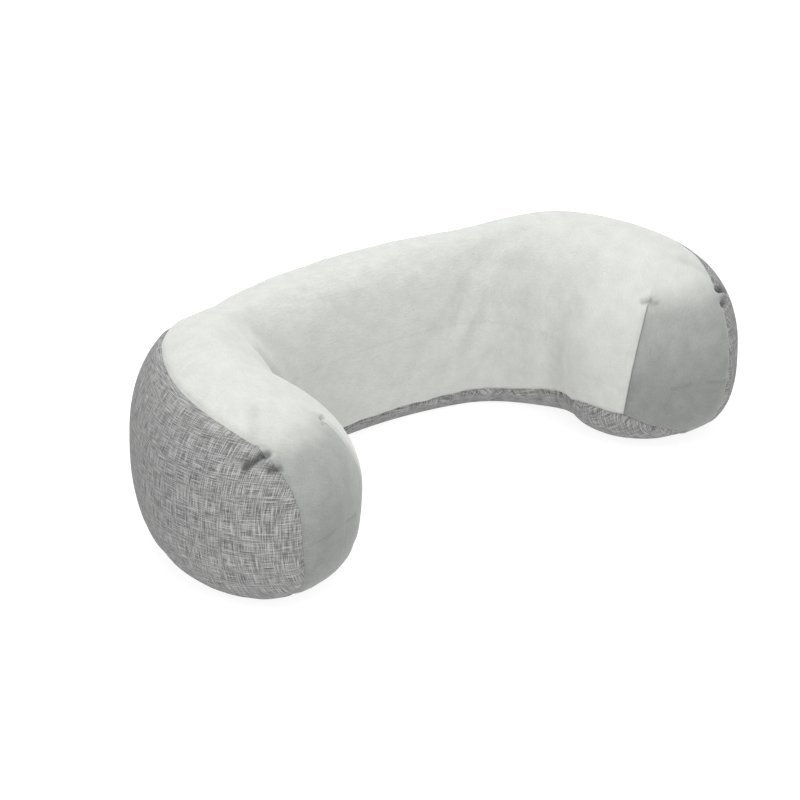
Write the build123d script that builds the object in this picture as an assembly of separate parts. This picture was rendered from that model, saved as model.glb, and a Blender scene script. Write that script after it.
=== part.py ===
"""Nursing pillow: a C-shaped foam pillow in a liner, inside a zipped fabric cover.

Every size is in millimetres and every angle in degrees. +Z is up, the pillow rests on
Z = 0, its two arms point along -Y and it is symmetric about the plane X = 0.
"""
from build123d import *
from functools import lru_cache
from math import asin, atan, cos, degrees, radians, sin, tan
import os

# ------------------------------------------------------------------ driving dimensions

# Centre line in plan, from the middle of the back to the end of one arm.
BACK_RADIUS = 390.0
BACK_TURN = 18.5
CORNER_RADIUS = 140.0
CORNER_TURN = 77.0
ARM_LENGTH = 94.0
ARM_TURN = 11.5
TURN_BLEND = 50.0       # length over which one bend eases into the next

# Cross-section at the back, at the middle of the corner and at the end of the arm.
OUTER_WIDTH = (65.5, 76.5, 89.5)
INNER_WIDTH = (38.5, 66.0, 94.0)
HEIGHT = (170.0, 187.5, 182.0)
WAIST = (0.37, 0.42, 0.465)  # level of the widest point, as a share of the height
CROWN_SHIFT = 0.04      # how far the crown leans outwards, as a share of the outer width
OUTER_TOP_POWER = 2.4   # superellipse powers of the four quarters of the section
INNER_TOP_POWER = 1.7
OUTER_FOOT_POWER = 2.75
INNER_FOOT_POWER = 2.6
SETTLE = 2.5            # how far the weight flattens the underside

# Rounded end of each arm: a superellipse in plan and above, a blunter one below.
END_LENGTH = 117.0
END_TOP_POWER = 2.05
END_FOOT_POWER = 2.75
END_TIP = 0.2           # the last section of the end, as a share of a full one

# Layers, as depths below the outside of the cover.
COVER_THICKNESS = 1.8
LINER_DEPTH = 4.2
LINER_THICKNESS = 0.8
FOAM_DEPTH = 5.4

# Seams of the cover.
TOP_SEAM_ANGLE = 56.0   # place of the top seam round the section, from the outer side
TOP_SEAM_END = 49.0     # the top seam turns down this far before the tip of the arm
END_SEAM_X = 231.2      # and runs down the arm's end from there, this far out at the foot
END_SEAM_LEAN = 9.4     # leaning outward by this angle as it rises
END_SEAM_OVERLAP = 20.0  # near the floor it begins this much further back
END_SEAM_LOW = 60.0      # and does so up to this height
LINER_SEAM_HEIGHT = 40.0

# Zip in the back of the base panel's seam.
ZIP_HEIGHT = 34.0
ZIP_GAP = 9.0           # bare width between the two panels
CHAIN_END = 14.0        # angle from the middle of the back to each end of the chain
TAPE_END = 15.3
GAP_END = 15.4
TAPE_DEPTH = 2.1
TAPE_THICKNESS = 0.5
TAPE_WIDTH = 12.0
COIL_WIDTH = 2.9
COIL_TOP = 0.3
CHAIN_GAP = 0.1
SLIDER_LENGTH = 11.0
SLIDER_WIDTH = 8.2
SLIDER_PLATE = 0.9
SLIDER_CLEARANCE = 0.3
POST_WIDTH = 1.3        # half the room that the slider's post takes between the tapes
CROWN_LENGTH = 6.4
CROWN_WIDTH = 2.4
CROWN_HEIGHT = 3.5
TAB_LENGTH = 27.0
TAB_WIDTH = 6.4
TAB_THICKNESS = 1.3
STOP_LENGTH = 3.0

LABEL_WIDTH = 15.0
LABEL_DROP = 24.0
LABEL_THICKNESS = 0.8

# Height of the base panel's edge, (y, z), on the inner and the outer wall.
INNER_FOOT_EDGE = (
    (-800.0, 5.0), (-250.0, 5.0), (-236.0, 33.0), (-212.0, 46.0), (-180.0, 50.0),
    (-125.0, 35.0), (-70.0, 22.0), (-40.0, 16.0), (800.0, 14.0),
)
OUTER_FOOT_EDGE = (
    (-800.0, 5.0), (-232.0, 5.0), (-215.0, 12.0), (-70.0, ZIP_HEIGHT), (800.0, ZIP_HEIGHT),
)

SECTION_POINTS = 24
TALL = 400.0            # larger than anything in the part, for cutters

# ------------------------------------------------------------------ derived dimensions

BACK_LENGTH = BACK_RADIUS * radians(BACK_TURN)
CORNER_LENGTH = CORNER_RADIUS * radians(CORNER_TURN)
REACH = BACK_LENGTH + CORNER_LENGTH + ARM_LENGTH
BACK_END = BACK_LENGTH * 0.95
CORNER_MIDDLE = BACK_LENGTH + CORNER_LENGTH / 2
ARM_FULL = REACH - END_LENGTH / 2


# ------------------------------------------------------------------ shape of the pillow

def ease(u):
    """Smooth step from 0 to 1."""
    u = min(max(u, 0.0), 1.0)
    return u * u * (3 - 2 * u)


def ease_sum(u):
    """Integral of the smooth step."""
    inside = min(max(u, 0.0), 1.0)
    return inside ** 3 - inside ** 4 / 2 + max(u - 1.0, 0.0)


def turned(s):
    """Heading of the centre line, in radians, at s >= 0 from the middle of the back."""
    first, second = BACK_LENGTH, BACK_LENGTH + CORNER_LENGTH
    back, corner, arm = 1 / BACK_RADIUS, 1 / CORNER_RADIUS, radians(ARM_TURN) / ARM_LENGTH
    to_corner = (corner - back) * TURN_BLEND * ease_sum((s - first) / TURN_BLEND + 0.5)
    to_arm = (arm - corner) * TURN_BLEND * ease_sum((s - second) / TURN_BLEND + 0.5)
    return back * s + to_corner + to_arm


@lru_cache(maxsize=None)
def centre_line(s):
    """Plan position and heading of the centre line, s from the middle of the back."""
    steps = max(round(abs(s)), 1)
    step = abs(s) / steps
    x, y = 0.0, 0.0
    for i in range(steps):
        heading = turned((i + 0.5) * step)
        x += step * cos(heading)
        y -= step * sin(heading)
    side = -1 if s < 0 else 1
    return side * x, y, side * turned(abs(s))


def along(s, values):
    """A size at distance s, eased from the back's value to the corner's and the arm's."""
    back, corner, arm = values
    s = abs(s)
    if s < CORNER_MIDDLE:
        return back + (corner - back) * ease((s - BACK_END) / (CORNER_MIDDLE - BACK_END))
    return corner + (arm - corner) * ease((s - CORNER_MIDDLE) / (ARM_FULL - CORNER_MIDDLE))


def end_share(s, depth, power):
    """How much of the full section is left at distance s, less than 1 in the arm's end."""
    u = min(max((REACH - depth - abs(s)) / END_LENGTH, 0.0), 1.0)
    return (1 - (1 - u) ** power) ** (1 / power)


def section_point(s, angle, depth=0.0):
    """Outward distance and height of a point of the section at a depth below the cover."""
    outer = along(s, OUTER_WIDTH)
    inner = along(s, INNER_WIDTH)
    height = along(s, HEIGHT)
    level = height * along(s, WAIST)
    crown = outer * CROWN_SHIFT
    across, up = cos(radians(angle)), sin(radians(angle))
    if up >= 0:
        power = OUTER_TOP_POWER if across >= 0 else INNER_TOP_POWER
    else:
        power = OUTER_FOOT_POWER if across >= 0 else INNER_FOOT_POWER
    reach = (abs(across) ** power + abs(up) ** power) ** (-1 / power)
    wide = outer - depth - crown if across >= 0 else inner - depth + crown
    high = height - depth - level if up >= 0 else level + SETTLE - depth
    top_share = end_share(s, depth, END_TOP_POWER)
    rise_share = top_share if up >= 0 else end_share(s, depth, END_FOOT_POWER)
    return crown + wide * across * reach * top_share, level + high * up * reach * rise_share


def place(s, out, z):
    """Point at an outward distance from the centre line."""
    x, y, heading = centre_line(s)
    return Vector(x + out * sin(heading), y + out * cos(heading), z)


def section_wire(s, depth):
    angles = [360 * i / SECTION_POINTS for i in range(SECTION_POINTS)]
    points = [place(s, *section_point(s, angle, depth)) for angle in angles]
    steps = [float(i) for i in range(SECTION_POINTS + 1)]
    return Wire([Edge.make_spline(points, periodic=True, parameters=steps)])


def stations(depth):
    """Distances of the loft's sections: even along the body, closer towards the tips."""
    body_end = REACH - depth - END_LENGTH
    body = [body_end * i / 9 for i in range(10)]
    tip_angle = asin((1 - END_TIP ** END_TOP_POWER) ** 0.5)
    end = []
    for i in range(1, 7):
        done = sin(tip_angle * i / 6) ** (2 / END_TOP_POWER)
        end.append(body_end + END_LENGTH * done)
    half = body + end
    return [-s for s in reversed(half[1:])] + half


def pillow_body(depth):
    """Solid bounded by the surface at a depth below the cover's outside."""
    body = Solid.make_loft([section_wire(s, depth) for s in stations(depth)])
    floor = Pos(0, 0, depth - TALL / 2) * Box(4 * TALL, 4 * TALL, TALL)
    return body - floor


# ------------------------------------------------------------------ seams

def outside_region(half_line, low, high):
    """Solid outside a line that runs round the back from one arm's end to the other's."""
    right = [Vector(x, y) for x, y in half_line]
    left = [Vector(-point.X, point.Y) for point in reversed(right)]
    curve = Edge.make_spline(left + right)
    rim = [right[-1], Vector(2 * TALL, -2 * TALL), Vector(2 * TALL, TALL)]
    rim += [Vector(-point.X, point.Y) for point in reversed(rim)]
    face = make_face([curve] + Polyline(*rim).edges())
    return Pos(0, 0, low) * extrude(face, high - low, dir=(0, 0, 1))


def top_seam_line():
    """Plan of the top seam, carried on straight past the place where it turns down."""
    last = REACH - TOP_SEAM_END
    line = []
    for i in range(10):
        s = last * (i + 0.5) / 9.5
        line.append(place(s, section_point(s, TOP_SEAM_ANGLE)[0], 0))
    beyond = line[-1] + (line[-1] - line[-2]) * 3
    return [(point.X, point.Y) for point in line + [beyond]]


def end_seam_regions():
    """Solids outside the seams that run down the two arms' ends, begun sooner at the foot."""
    s = REACH - TOP_SEAM_END
    start = place(s, section_point(s, TOP_SEAM_ANGLE)[0], 0).Y
    slope = tan(radians(END_SEAM_LEAN))
    regions = []
    for side in (1, -1):
        for begin, top in ((start, TALL), (start + END_SEAM_OVERLAP, END_SEAM_LOW)):
            edge = [(side * (END_SEAM_X + slope * z), z) for z in (-TALL, top)]
            corners = edge + [(side * 2 * TALL, top), (side * 2 * TALL, -TALL)]
            points = [(x, begin, z) for x, z in corners]
            face = make_face(Polyline(*points, close=True).edges())
            regions.append(extrude(face, TALL, dir=(0, -1, 0)))
    return Part() + regions


def middle_line():
    """Plan of the centre line, carried on straight past the arm's end."""
    line = [place(REACH * (i + 0.5) / 9.5, 0, 0) for i in range(10)]
    beyond = line[-1] + (line[-1] - line[-2]) * 2
    return [(point.X, point.Y) for point in line + [beyond]]


def below_edge(edge):
    """Solid under a line of (y, z) points, the same all the way across in X."""
    points = [(0, y, z) for y, z in edge]
    points += [(0, edge[-1][0], -TALL), (0, edge[0][0], -TALL)]
    face = make_face(Polyline(*points, close=True).edges())
    return extrude(face, 2 * TALL, dir=(1, 0, 0), both=True)


def foot_region():
    """Solid below the base panel's edge, which is higher round the back for the zip."""
    below_inner = below_edge(INNER_FOOT_EDGE)
    below_outer = below_edge(OUTER_FOOT_EDGE)
    outside = outside_region(middle_line(), -TALL, TALL)
    return (below_inner - outside) + (below_outer & outside)


# ------------------------------------------------------------------ zip

def wall_out(z):
    """Outward distance of the back's outer wall at a height below its widest level."""
    level = HEIGHT[0] * WAIST[0]
    crown = OUTER_WIDTH[0] * CROWN_SHIFT
    drop = (level - z) / (level + SETTLE)
    share = (1 - drop ** OUTER_FOOT_POWER) ** (1 / OUTER_FOOT_POWER)
    return crown + (OUTER_WIDTH[0] - crown) * share


# Angle by which the wall leans out at the zip.
LEAN = atan((wall_out(ZIP_HEIGHT + 1) - wall_out(ZIP_HEIGHT - 1)) / 2)


def wall_point(up, depth):
    """Out and height of a point of the wall, up from the zip's middle and below the cover."""
    z = ZIP_HEIGHT + up * cos(LEAN)
    return wall_out(z) - depth * cos(LEAN), z + depth * sin(LEAN)


def ring(profile, start, stop):
    """Solid of (out, z) points swept round the back, between two angles from the middle."""
    points = [(BACK_RADIUS + out, 0, z) for out, z in profile]
    face = make_face(Polyline(*points, close=True).edges())
    swept = revolve(face, Axis.Z, stop - start)
    return Pos(0, -BACK_RADIUS, 0) * Rot(0, 0, 90 - stop) * swept


def wall_band(near, far, shallow, deep):
    """Profile between two distances up the wall and two depths below the cover's outside."""
    ups = [near + (far - near) * i / 4 for i in range(5)]
    outer = [wall_point(up, shallow) for up in ups]
    inner = [wall_point(up, deep) for up in reversed(ups)]
    return outer + inner


def zip_gap():
    """Opening between the panels that bares the chain."""
    half = ZIP_GAP / 2
    band = wall_band(-half, half, -half, COVER_THICKNESS + 0.2)
    return ring(band, -GAP_END, GAP_END)


def zip_tape(side):
    """Woven tape: meets its twin along the chain and stands aside past the slider's post."""
    back = TAPE_DEPTH + TAPE_THICKNESS
    closed = wall_band(side * CHAIN_GAP / 2, side * TAPE_WIDTH, TAPE_DEPTH, back)
    parted = wall_band(side * POST_WIDTH, side * TAPE_WIDTH, TAPE_DEPTH, back)
    return ring(closed, -TAPE_END, CHAIN_END) + ring(parted, CHAIN_END, TAPE_END)


def zip_coil(side):
    """One half of the chain, as the bead that its coiled teeth fill."""
    band = wall_band(side * CHAIN_GAP / 2, side * COIL_WIDTH, COIL_TOP, TAPE_DEPTH)
    return ring(band, -CHAIN_END, CHAIN_END)


def zip_bottom_stop():
    """Block across both tapes that stops the slider where the zip is fully open."""
    band = wall_band(-COIL_WIDTH, COIL_WIDTH, COIL_TOP, TAPE_DEPTH)
    return ring(band, -CHAIN_END - arc_angle(STOP_LENGTH), -CHAIN_END)


def zip_top_stops():
    """Two blocks, one on each tape, that stop the slider where the zip is closed."""
    start = CHAIN_END + arc_angle(SLIDER_LENGTH / 2 + SLIDER_CLEARANCE)
    stop = start + arc_angle(STOP_LENGTH)
    stops = []
    for side in (1, -1):
        band = wall_band(side * POST_WIDTH, side * COIL_WIDTH, COIL_TOP, TAPE_DEPTH)
        stops.append(ring(band, start, stop).solid())
    return Compound(stops)


def arc_angle(length):
    return degrees(length / (BACK_RADIUS + wall_out(ZIP_HEIGHT)))


def slider_plane():
    """Local frame of the slider at rest: X along the chain, Z out of the wall."""
    turn = radians(CHAIN_END)
    radius = BACK_RADIUS + wall_out(ZIP_HEIGHT)
    origin = Vector(radius * sin(turn), radius * cos(turn) - BACK_RADIUS, ZIP_HEIGHT)
    out = Vector(sin(turn) * cos(LEAN), cos(turn) * cos(LEAN), -sin(LEAN))
    return Plane(origin, x_dir=Vector(cos(turn), -sin(turn), 0), z_dir=out)


def block(length, width, low, high, middle=0.0):
    """Box centred on the chain's middle line, between two heights above the wall."""
    return Pos(middle, 0, (low + high) / 2) * Box(length, width, high - low)


def zip_slider():
    """Two plates joined by a post, with flanges beside the chain and a crown for the pull."""
    chain_top = -COIL_TOP + SLIDER_CLEARANCE
    plate_top = chain_top + SLIDER_PLATE
    tape_back = -TAPE_DEPTH - TAPE_THICKNESS - SLIDER_CLEARANCE
    outer_plate = block(SLIDER_LENGTH, SLIDER_WIDTH, chain_top, plate_top)
    outer_plate = fillet(outer_plate.edges().filter_by(Axis.Z), 2.4)
    inner_plate = block(SLIDER_LENGTH, SLIDER_WIDTH, tape_back - 0.7, tape_back)
    inner_plate = fillet(inner_plate.edges().filter_by(Axis.Z), 2.4)
    post = block(2.0, 2 * POST_WIDTH - 0.6, tape_back, chain_top, SLIDER_LENGTH / 2 - 1.6)
    slider = outer_plate + inner_plate + post
    flange = block(SLIDER_LENGTH - 5.0, 0.8, -TAPE_DEPTH + SLIDER_CLEARANCE, chain_top)
    for side in (1, -1):
        slider += Pos(0, side * (SLIDER_WIDTH / 2 - 0.4), 0) * flange
    crown = block(CROWN_LENGTH, CROWN_WIDTH, plate_top, plate_top + CROWN_HEIGHT)
    crown = fillet(crown.edges().filter_by(Axis.Y).group_by(Axis.Z)[-1], 1.4)
    crown -= block(CROWN_LENGTH - 2.0, CROWN_WIDTH, plate_top, plate_top + CROWN_HEIGHT - 0.9)
    return slider_plane() * (slider + crown)


def pull_axis_height():
    """Height of the pull's hinge above the wall: the middle of the crown's eye."""
    return -COIL_TOP + SLIDER_CLEARANCE + SLIDER_PLATE + (CROWN_HEIGHT - 0.9) / 2


def zip_pull_tab():
    """Flat tab with a round cross bar through the crown, lying back over the chain."""
    inside = CROWN_LENGTH / 2 + 1.2
    tab = Pos(-TAB_LENGTH / 2, 0, 0) * Box(TAB_LENGTH, TAB_WIDTH, TAB_THICKNESS)
    tab = fillet(tab.edges().filter_by(Axis.Z).group_by(Axis.X)[0], TAB_WIDTH / 2 - 0.2)
    tab -= Pos(-inside / 2, 0, 0) * Box(inside, CROWN_WIDTH + 0.8, TAB_THICKNESS)
    slot = Box(TAB_LENGTH / 3, TAB_WIDTH / 3, TAB_THICKNESS)
    slot = fillet(slot.edges().filter_by(Axis.Z), TAB_WIDTH / 6 - 0.1)
    tab -= Pos(-0.7 * TAB_LENGTH, 0, 0) * slot
    tab += Rot(90, 0, 0) * Cylinder(TAB_THICKNESS / 2, TAB_WIDTH)
    return slider_plane() * Pos(0, 0, pull_axis_height()) * tab


# ------------------------------------------------------------------ label

def care_label():
    """Blank folded tape caught in the seam beyond the zip, hanging down the wall."""
    rest = wall_out(ZIP_HEIGHT) + 0.3
    caught = wall_out(ZIP_HEIGHT) - 0.8 * COVER_THICKNESS
    thick = LABEL_THICKNESS
    top = ZIP_HEIGHT + thick / 2
    profile = [(caught, top), (rest + thick, top), (rest + thick, top - LABEL_DROP)]
    profile += [(rest, top - LABEL_DROP), (rest, top - thick), (caught, top - thick)]
    start = -GAP_END - arc_angle(LABEL_WIDTH + 2.0)
    return ring(profile, start, start + arc_angle(LABEL_WIDTH))


# ------------------------------------------------------------------ assembly

outside = pillow_body(0.0)
cover = outside - pillow_body(COVER_THICKNESS)
liner = pillow_body(LINER_DEPTH) - pillow_body(LINER_DEPTH + LINER_THICKNESS)
foot = foot_region()
side = outside_region(top_seam_line(), -TALL, TALL) + end_seam_regions()
liner_foot = below_edge([(-2 * TALL, LINER_SEAM_HEIGHT), (2 * TALL, LINER_SEAM_HEIGHT)])
label = care_label()
gap = zip_gap()

nodes = {
    "cover_top_panel": cover - foot - side,
    "cover_side_panel": (cover & side) - foot - gap - label,
    "cover_base_panel": (cover & foot) - gap - label,
    "liner_top": liner - liner_foot,
    "liner_base": liner & liner_foot,
    "foam_core": pillow_body(FOAM_DEPTH),
    "zip_tape_upper": zip_tape(1),
    "zip_tape_lower": zip_tape(-1),
    "zip_coil_upper": zip_coil(1),
    "zip_coil_lower": zip_coil(-1),
    "zip_bottom_stop": zip_bottom_stop(),
    "zip_top_stops": zip_top_stops(),
    "zip_slider": zip_slider(),
    "zip_pull_tab": zip_pull_tab(),
    "care_label": label,
}

# The origin is the middle of the whole pillow's plan, on the surface it rests on.
box = outside.bounding_box()
shift = Pos(0, -(box.min.Y + box.max.Y) / 2, 0)

os.makedirs("parts", exist_ok=True)
for name, shape in nodes.items():
    export_step(shift * shape, f"parts/{name}.step")

pull = shift * slider_plane().location * Pos(0, 0, pull_axis_height())
print("overall size", box.size)
print("zip travel axis", (shift * Pos(0, -BACK_RADIUS, 0)).position, "through Z")
print("pull tab axis", pull.position, "direction", slider_plane().y_dir)
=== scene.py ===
import math

import bpy
import numpy as np
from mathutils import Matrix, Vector, kdtree, noise


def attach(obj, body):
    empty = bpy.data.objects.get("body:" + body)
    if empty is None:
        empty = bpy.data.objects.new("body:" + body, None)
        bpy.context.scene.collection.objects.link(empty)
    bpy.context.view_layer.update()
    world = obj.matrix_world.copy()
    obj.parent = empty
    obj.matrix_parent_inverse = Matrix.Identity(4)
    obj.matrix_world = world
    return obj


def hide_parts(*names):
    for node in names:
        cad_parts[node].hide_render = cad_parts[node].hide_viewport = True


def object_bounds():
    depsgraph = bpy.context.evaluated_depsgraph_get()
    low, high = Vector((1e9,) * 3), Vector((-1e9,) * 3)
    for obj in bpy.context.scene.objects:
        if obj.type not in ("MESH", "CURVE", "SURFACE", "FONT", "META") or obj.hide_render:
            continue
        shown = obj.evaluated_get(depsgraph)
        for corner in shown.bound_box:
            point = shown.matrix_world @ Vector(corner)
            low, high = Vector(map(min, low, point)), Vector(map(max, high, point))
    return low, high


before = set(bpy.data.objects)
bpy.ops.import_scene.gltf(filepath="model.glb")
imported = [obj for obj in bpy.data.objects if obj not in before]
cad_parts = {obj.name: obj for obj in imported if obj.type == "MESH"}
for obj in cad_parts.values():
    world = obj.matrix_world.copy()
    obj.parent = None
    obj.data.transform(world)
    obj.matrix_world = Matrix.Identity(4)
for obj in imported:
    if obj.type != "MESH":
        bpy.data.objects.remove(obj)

CAD_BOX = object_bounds()

# Nursing pillow, in metres. The cover is one smooth surface round a C-shaped centre line,
# sunk at its seams, blown out between them by a cloth simulation and cut into panels.
# The sizes of the shape and its seams are the CAD's own driving dimensions.

# ---------------------------------------------------------------- driving dimensions

# Centre line in plan, from the middle of the back to the end of one arm.
BACK_RADIUS = 0.390
BACK_TURN = math.radians(18.5)
CORNER_RADIUS = 0.140
CORNER_TURN = math.radians(77.0)
ARM_LENGTH = 0.094
ARM_TURN = math.radians(11.5)
TURN_BLEND = 0.050      # length over which one bend eases into the next

# Cross-section at the back, at the middle of the corner and at the end of the arm.
OUTER_WIDTH = (0.0655, 0.0765, 0.0895)
INNER_WIDTH = (0.0385, 0.0660, 0.0940)
HEIGHT = (0.1700, 0.1875, 0.1820)
WAIST = (0.37, 0.42, 0.465)  # level of the widest point, as a share of the height
CROWN_SHIFT = 0.04      # how far the crown leans outwards, as a share of the outer width
OUTER_TOP_POWER, INNER_TOP_POWER = 2.4, 1.7
OUTER_FOOT_POWER, INNER_FOOT_POWER = 2.75, 2.6
SETTLE = 0.0025         # how far the weight flattens the underside
END_LENGTH = 0.117      # rounded end of each arm
END_TOP_POWER, END_FOOT_POWER = 2.05, 2.75

# Layers, as depths below the outside of the cover. The liner and the filling lie deeper than
# in the CAD, so that no sunk seam or pucker of the cover reaches them.
COVER_THICKNESS = 0.0016
LINER_DEPTH = 0.0110
LINER_THICKNESS = 0.0008
FOAM_DEPTH = 0.0122
LINER_SEAM_HEIGHT = 0.040

# Seams of the cover.
TOP_SEAM_ANGLE = 56.0   # place of the top seam round the section, from the outer side
TOP_SEAM_END = 0.049    # the top seam turns down this far before the tip of the arm
TOP_SEAM_ROUND = 0.004  # and rounds that corner over this length
END_SEAM_X = 0.2312     # it runs down the arm's end this far out at the foot
END_SEAM_LEAN = math.radians(9.4)
DART_TURN = math.radians(36.9)  # the dart's plane faces this far round from straight ahead
DART_LEAN = math.radians(7.5)   # and this far down
DART_OFFSET = 0.2543    # its distance from the middle of the back's centre line
DART_TOP = 0.152        # the dart ends at this height
DART_FADE = 0.004       # and shows wholly from this far below it
DART_CLEAR = 0.060      # it lies at least this far inside the top seam

ZIP_HEIGHT = 0.034
ZIP_GAP = 0.009         # bare width between the two panels
CHAIN_END = math.radians(14.0)
GAP_END = math.radians(15.4)

# Height of the base panel's edge against y, on the inner and the outer wall, before the
# model is moved to the middle of its plan.
INNER_FOOT_EDGE = (
    (-0.250, -0.236, -0.212, -0.180, -0.125, -0.070, -0.040),
    (0.005, 0.033, 0.046, 0.050, 0.035, 0.022, 0.016),
)
OUTER_FOOT_EDGE = ((-0.232, -0.215, -0.070), (0.005, 0.012, ZIP_HEIGHT))

BACK_LENGTH = BACK_RADIUS * BACK_TURN
CORNER_LENGTH = CORNER_RADIUS * CORNER_TURN
REACH = BACK_LENGTH + CORNER_LENGTH + ARM_LENGTH
BACK_END = BACK_LENGTH * 0.95
CORNER_MIDDLE = BACK_LENGTH + CORNER_LENGTH / 2
ARM_FULL = REACH - END_LENGTH / 2

# The CAD model stands in the middle of its plan, so the surface is moved back by this much.
PLAN_SHIFT = CAD_BOX[1][1] - OUTER_WIDTH[0]

# ---------------------------------------------------------------- shape of the pillow


def ease(u):
    """Smooth step from 0 to 1."""
    u = np.clip(u, 0.0, 1.0)
    return u * u * (3 - 2 * u)


def ease_sum(u):
    """Integral of the smooth step."""
    inside = np.clip(u, 0.0, 1.0)
    return inside ** 3 - inside ** 4 / 2 + np.maximum(u - 1.0, 0.0)


def turned(s):
    """Heading of the centre line at distance s >= 0 from the middle of the back."""
    first, second = BACK_LENGTH, BACK_LENGTH + CORNER_LENGTH
    back, corner, arm = 1 / BACK_RADIUS, 1 / CORNER_RADIUS, ARM_TURN / ARM_LENGTH
    to_corner = (corner - back) * TURN_BLEND * ease_sum((s - first) / TURN_BLEND + 0.5)
    to_arm = (arm - corner) * TURN_BLEND * ease_sum((s - second) / TURN_BLEND + 0.5)
    return back * s + to_corner + to_arm


LINE_STEPS = 4000
LINE_S = np.linspace(0.0, REACH, LINE_STEPS + 1)
LINE_TURN = turned((LINE_S[1:] + LINE_S[:-1]) / 2)
LINE_X = np.concatenate([[0.0], np.cumsum(np.cos(LINE_TURN)) * REACH / LINE_STEPS])
LINE_Y = np.concatenate([[0.0], -np.cumsum(np.sin(LINE_TURN)) * REACH / LINE_STEPS])


def along(s, values):
    """A size at distance s, eased from the back's value to the corner's and the arm's."""
    back, corner, arm = values
    s = np.abs(s)
    first = back + (corner - back) * ease((s - BACK_END) / (CORNER_MIDDLE - BACK_END))
    second = corner + (arm - corner) * ease((s - CORNER_MIDDLE) / (ARM_FULL - CORNER_MIDDLE))
    return np.where(s < CORNER_MIDDLE, first, second)


def end_share(s, depth, power):
    """How much of the full section is left at distance s, less than 1 in the arm's end."""
    u = np.clip((REACH - depth - np.abs(s)) / END_LENGTH, 0.0, 1.0)
    return (1 - (1 - u) ** power) ** (1 / power)


def section(s, angle, depth=0.0):
    """Outward distance and height of points of the section, angle in degrees."""
    outer, inner, height = along(s, OUTER_WIDTH), along(s, INNER_WIDTH), along(s, HEIGHT)
    level = height * along(s, WAIST)
    crown = outer * CROWN_SHIFT
    across, up = np.cos(np.radians(angle)), np.sin(np.radians(angle))
    top_power = np.where(across >= 0, OUTER_TOP_POWER, INNER_TOP_POWER)
    foot_power = np.where(across >= 0, OUTER_FOOT_POWER, INNER_FOOT_POWER)
    power = np.where(up >= 0, top_power, foot_power)
    reach = (np.abs(across) ** power + np.abs(up) ** power) ** (-1 / power)
    wide = np.where(across >= 0, outer - depth - crown, inner - depth + crown)
    high = np.where(up >= 0, height - depth - level, level + SETTLE - depth)
    top_share = end_share(s, depth, END_TOP_POWER)
    rise_share = np.where(up >= 0, top_share, end_share(s, depth, END_FOOT_POWER))
    out = crown + wide * across * reach * top_share
    return out, np.maximum(level + high * up * reach * rise_share, depth)


def place(s, out, z):
    """Points at an outward distance from the centre line, as an array of x, y, z."""
    s, out, z = np.broadcast_arrays(s, out, z)
    side = np.where(s < 0, -1.0, 1.0)
    heading = turned(np.abs(s))
    x = np.interp(np.abs(s), LINE_S, LINE_X) + out * np.sin(heading)
    y = np.interp(np.abs(s), LINE_S, LINE_Y) + out * np.cos(heading)
    return np.stack([side * x, y, z], axis=-1)


def surface(s, angle, depth=0.0):
    """Points of the pillow's surface, or of one at a depth below it."""
    return place(s, *section(s, angle, depth))


END_ROWS = 96           # rows of the grid in each arm's end
BODY_ROWS = 310
COLUMNS = 280


def row_distances(depth, detail=1.0):
    """Distances of the grid's rows: even along the body, closer towards the tips."""
    body_end = REACH - depth - END_LENGTH
    body = np.linspace(-body_end, body_end, int(BODY_ROWS * detail) + 1)
    turn = np.linspace(0.0, math.pi / 2, int(END_ROWS * detail) + 1)[1:]
    end = body_end + END_LENGTH * np.sin(turn) ** (2 / END_TOP_POWER)
    return np.concatenate([-end[::-1], body, end])


def grid(depth, detail=1.0):
    """Distances and angles of the grid's points, and its faces, closed round the section."""
    rows = row_distances(depth, detail)
    columns = int(COLUMNS * detail)
    angles = np.arange(columns) * 360.0 / columns
    s, angle = np.meshgrid(rows, angles, indexing="ij")
    i, j = np.meshgrid(np.arange(len(rows) - 1), np.arange(columns), indexing="ij")
    k = (j + 1) % columns
    corners = [i * columns + j, i * columns + k, (i + 1) * columns + k, (i + 1) * columns + j]
    faces = np.stack(corners, axis=-1).reshape(-1, 4)
    return s, angle, faces


def grid_normals(points):
    """Outward unit normals of a grid of points, rows by columns."""
    along_rows = np.gradient(points, axis=0)
    along_columns = np.roll(points, -1, axis=1) - np.roll(points, 1, axis=1)
    normal = np.cross(along_columns, along_rows)
    length = np.linalg.norm(normal, axis=-1, keepdims=True)
    normal = normal / np.maximum(length, 1e-12)
    normal[0] = normal[1].mean(axis=0)
    normal[-1] = normal[-2].mean(axis=0)
    return normal / np.linalg.norm(normal, axis=-1, keepdims=True)


# ---------------------------------------------------------------- seams


def right_half(points):
    """Points with both halves of the pillow folded onto the right one."""
    return np.stack([np.abs(points[..., 0]), points[..., 1], points[..., 2]], axis=-1)


def top_seam_plan():
    """Plan of the top seam's right half, carried on straight past its corner."""
    line = surface(np.linspace(0.0, REACH - TOP_SEAM_END, 120), TOP_SEAM_ANGLE)[:, :2]
    beyond = line[-1] + (line[-1] - line[-10]) * 10
    return np.concatenate([line, [beyond]])


def soft_max(a, b, round_by):
    """The larger of two distances, with the corner between them rounded."""
    share = np.clip(0.5 + (a - b) / round_by / 2, 0.0, 1.0)
    return b + (a - b) * share + round_by * share * (1 - share)


def side_distance(points):
    """Signed distance from the top seam and the arm's end seam, positive on the side panel."""
    folded = right_half(points)
    crown = plan_distance(folded, top_seam_plan())
    x, y, z = folded[..., 0], folded[..., 1], folded[..., 2]
    end = (x - END_SEAM_X - z * math.tan(END_SEAM_LEAN)) * math.cos(END_SEAM_LEAN)
    corner = surface(REACH - TOP_SEAM_END, TOP_SEAM_ANGLE)
    end = end - np.maximum(y - corner[1], 0.0)
    return soft_max(crown, end, TOP_SEAM_ROUND)


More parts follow.
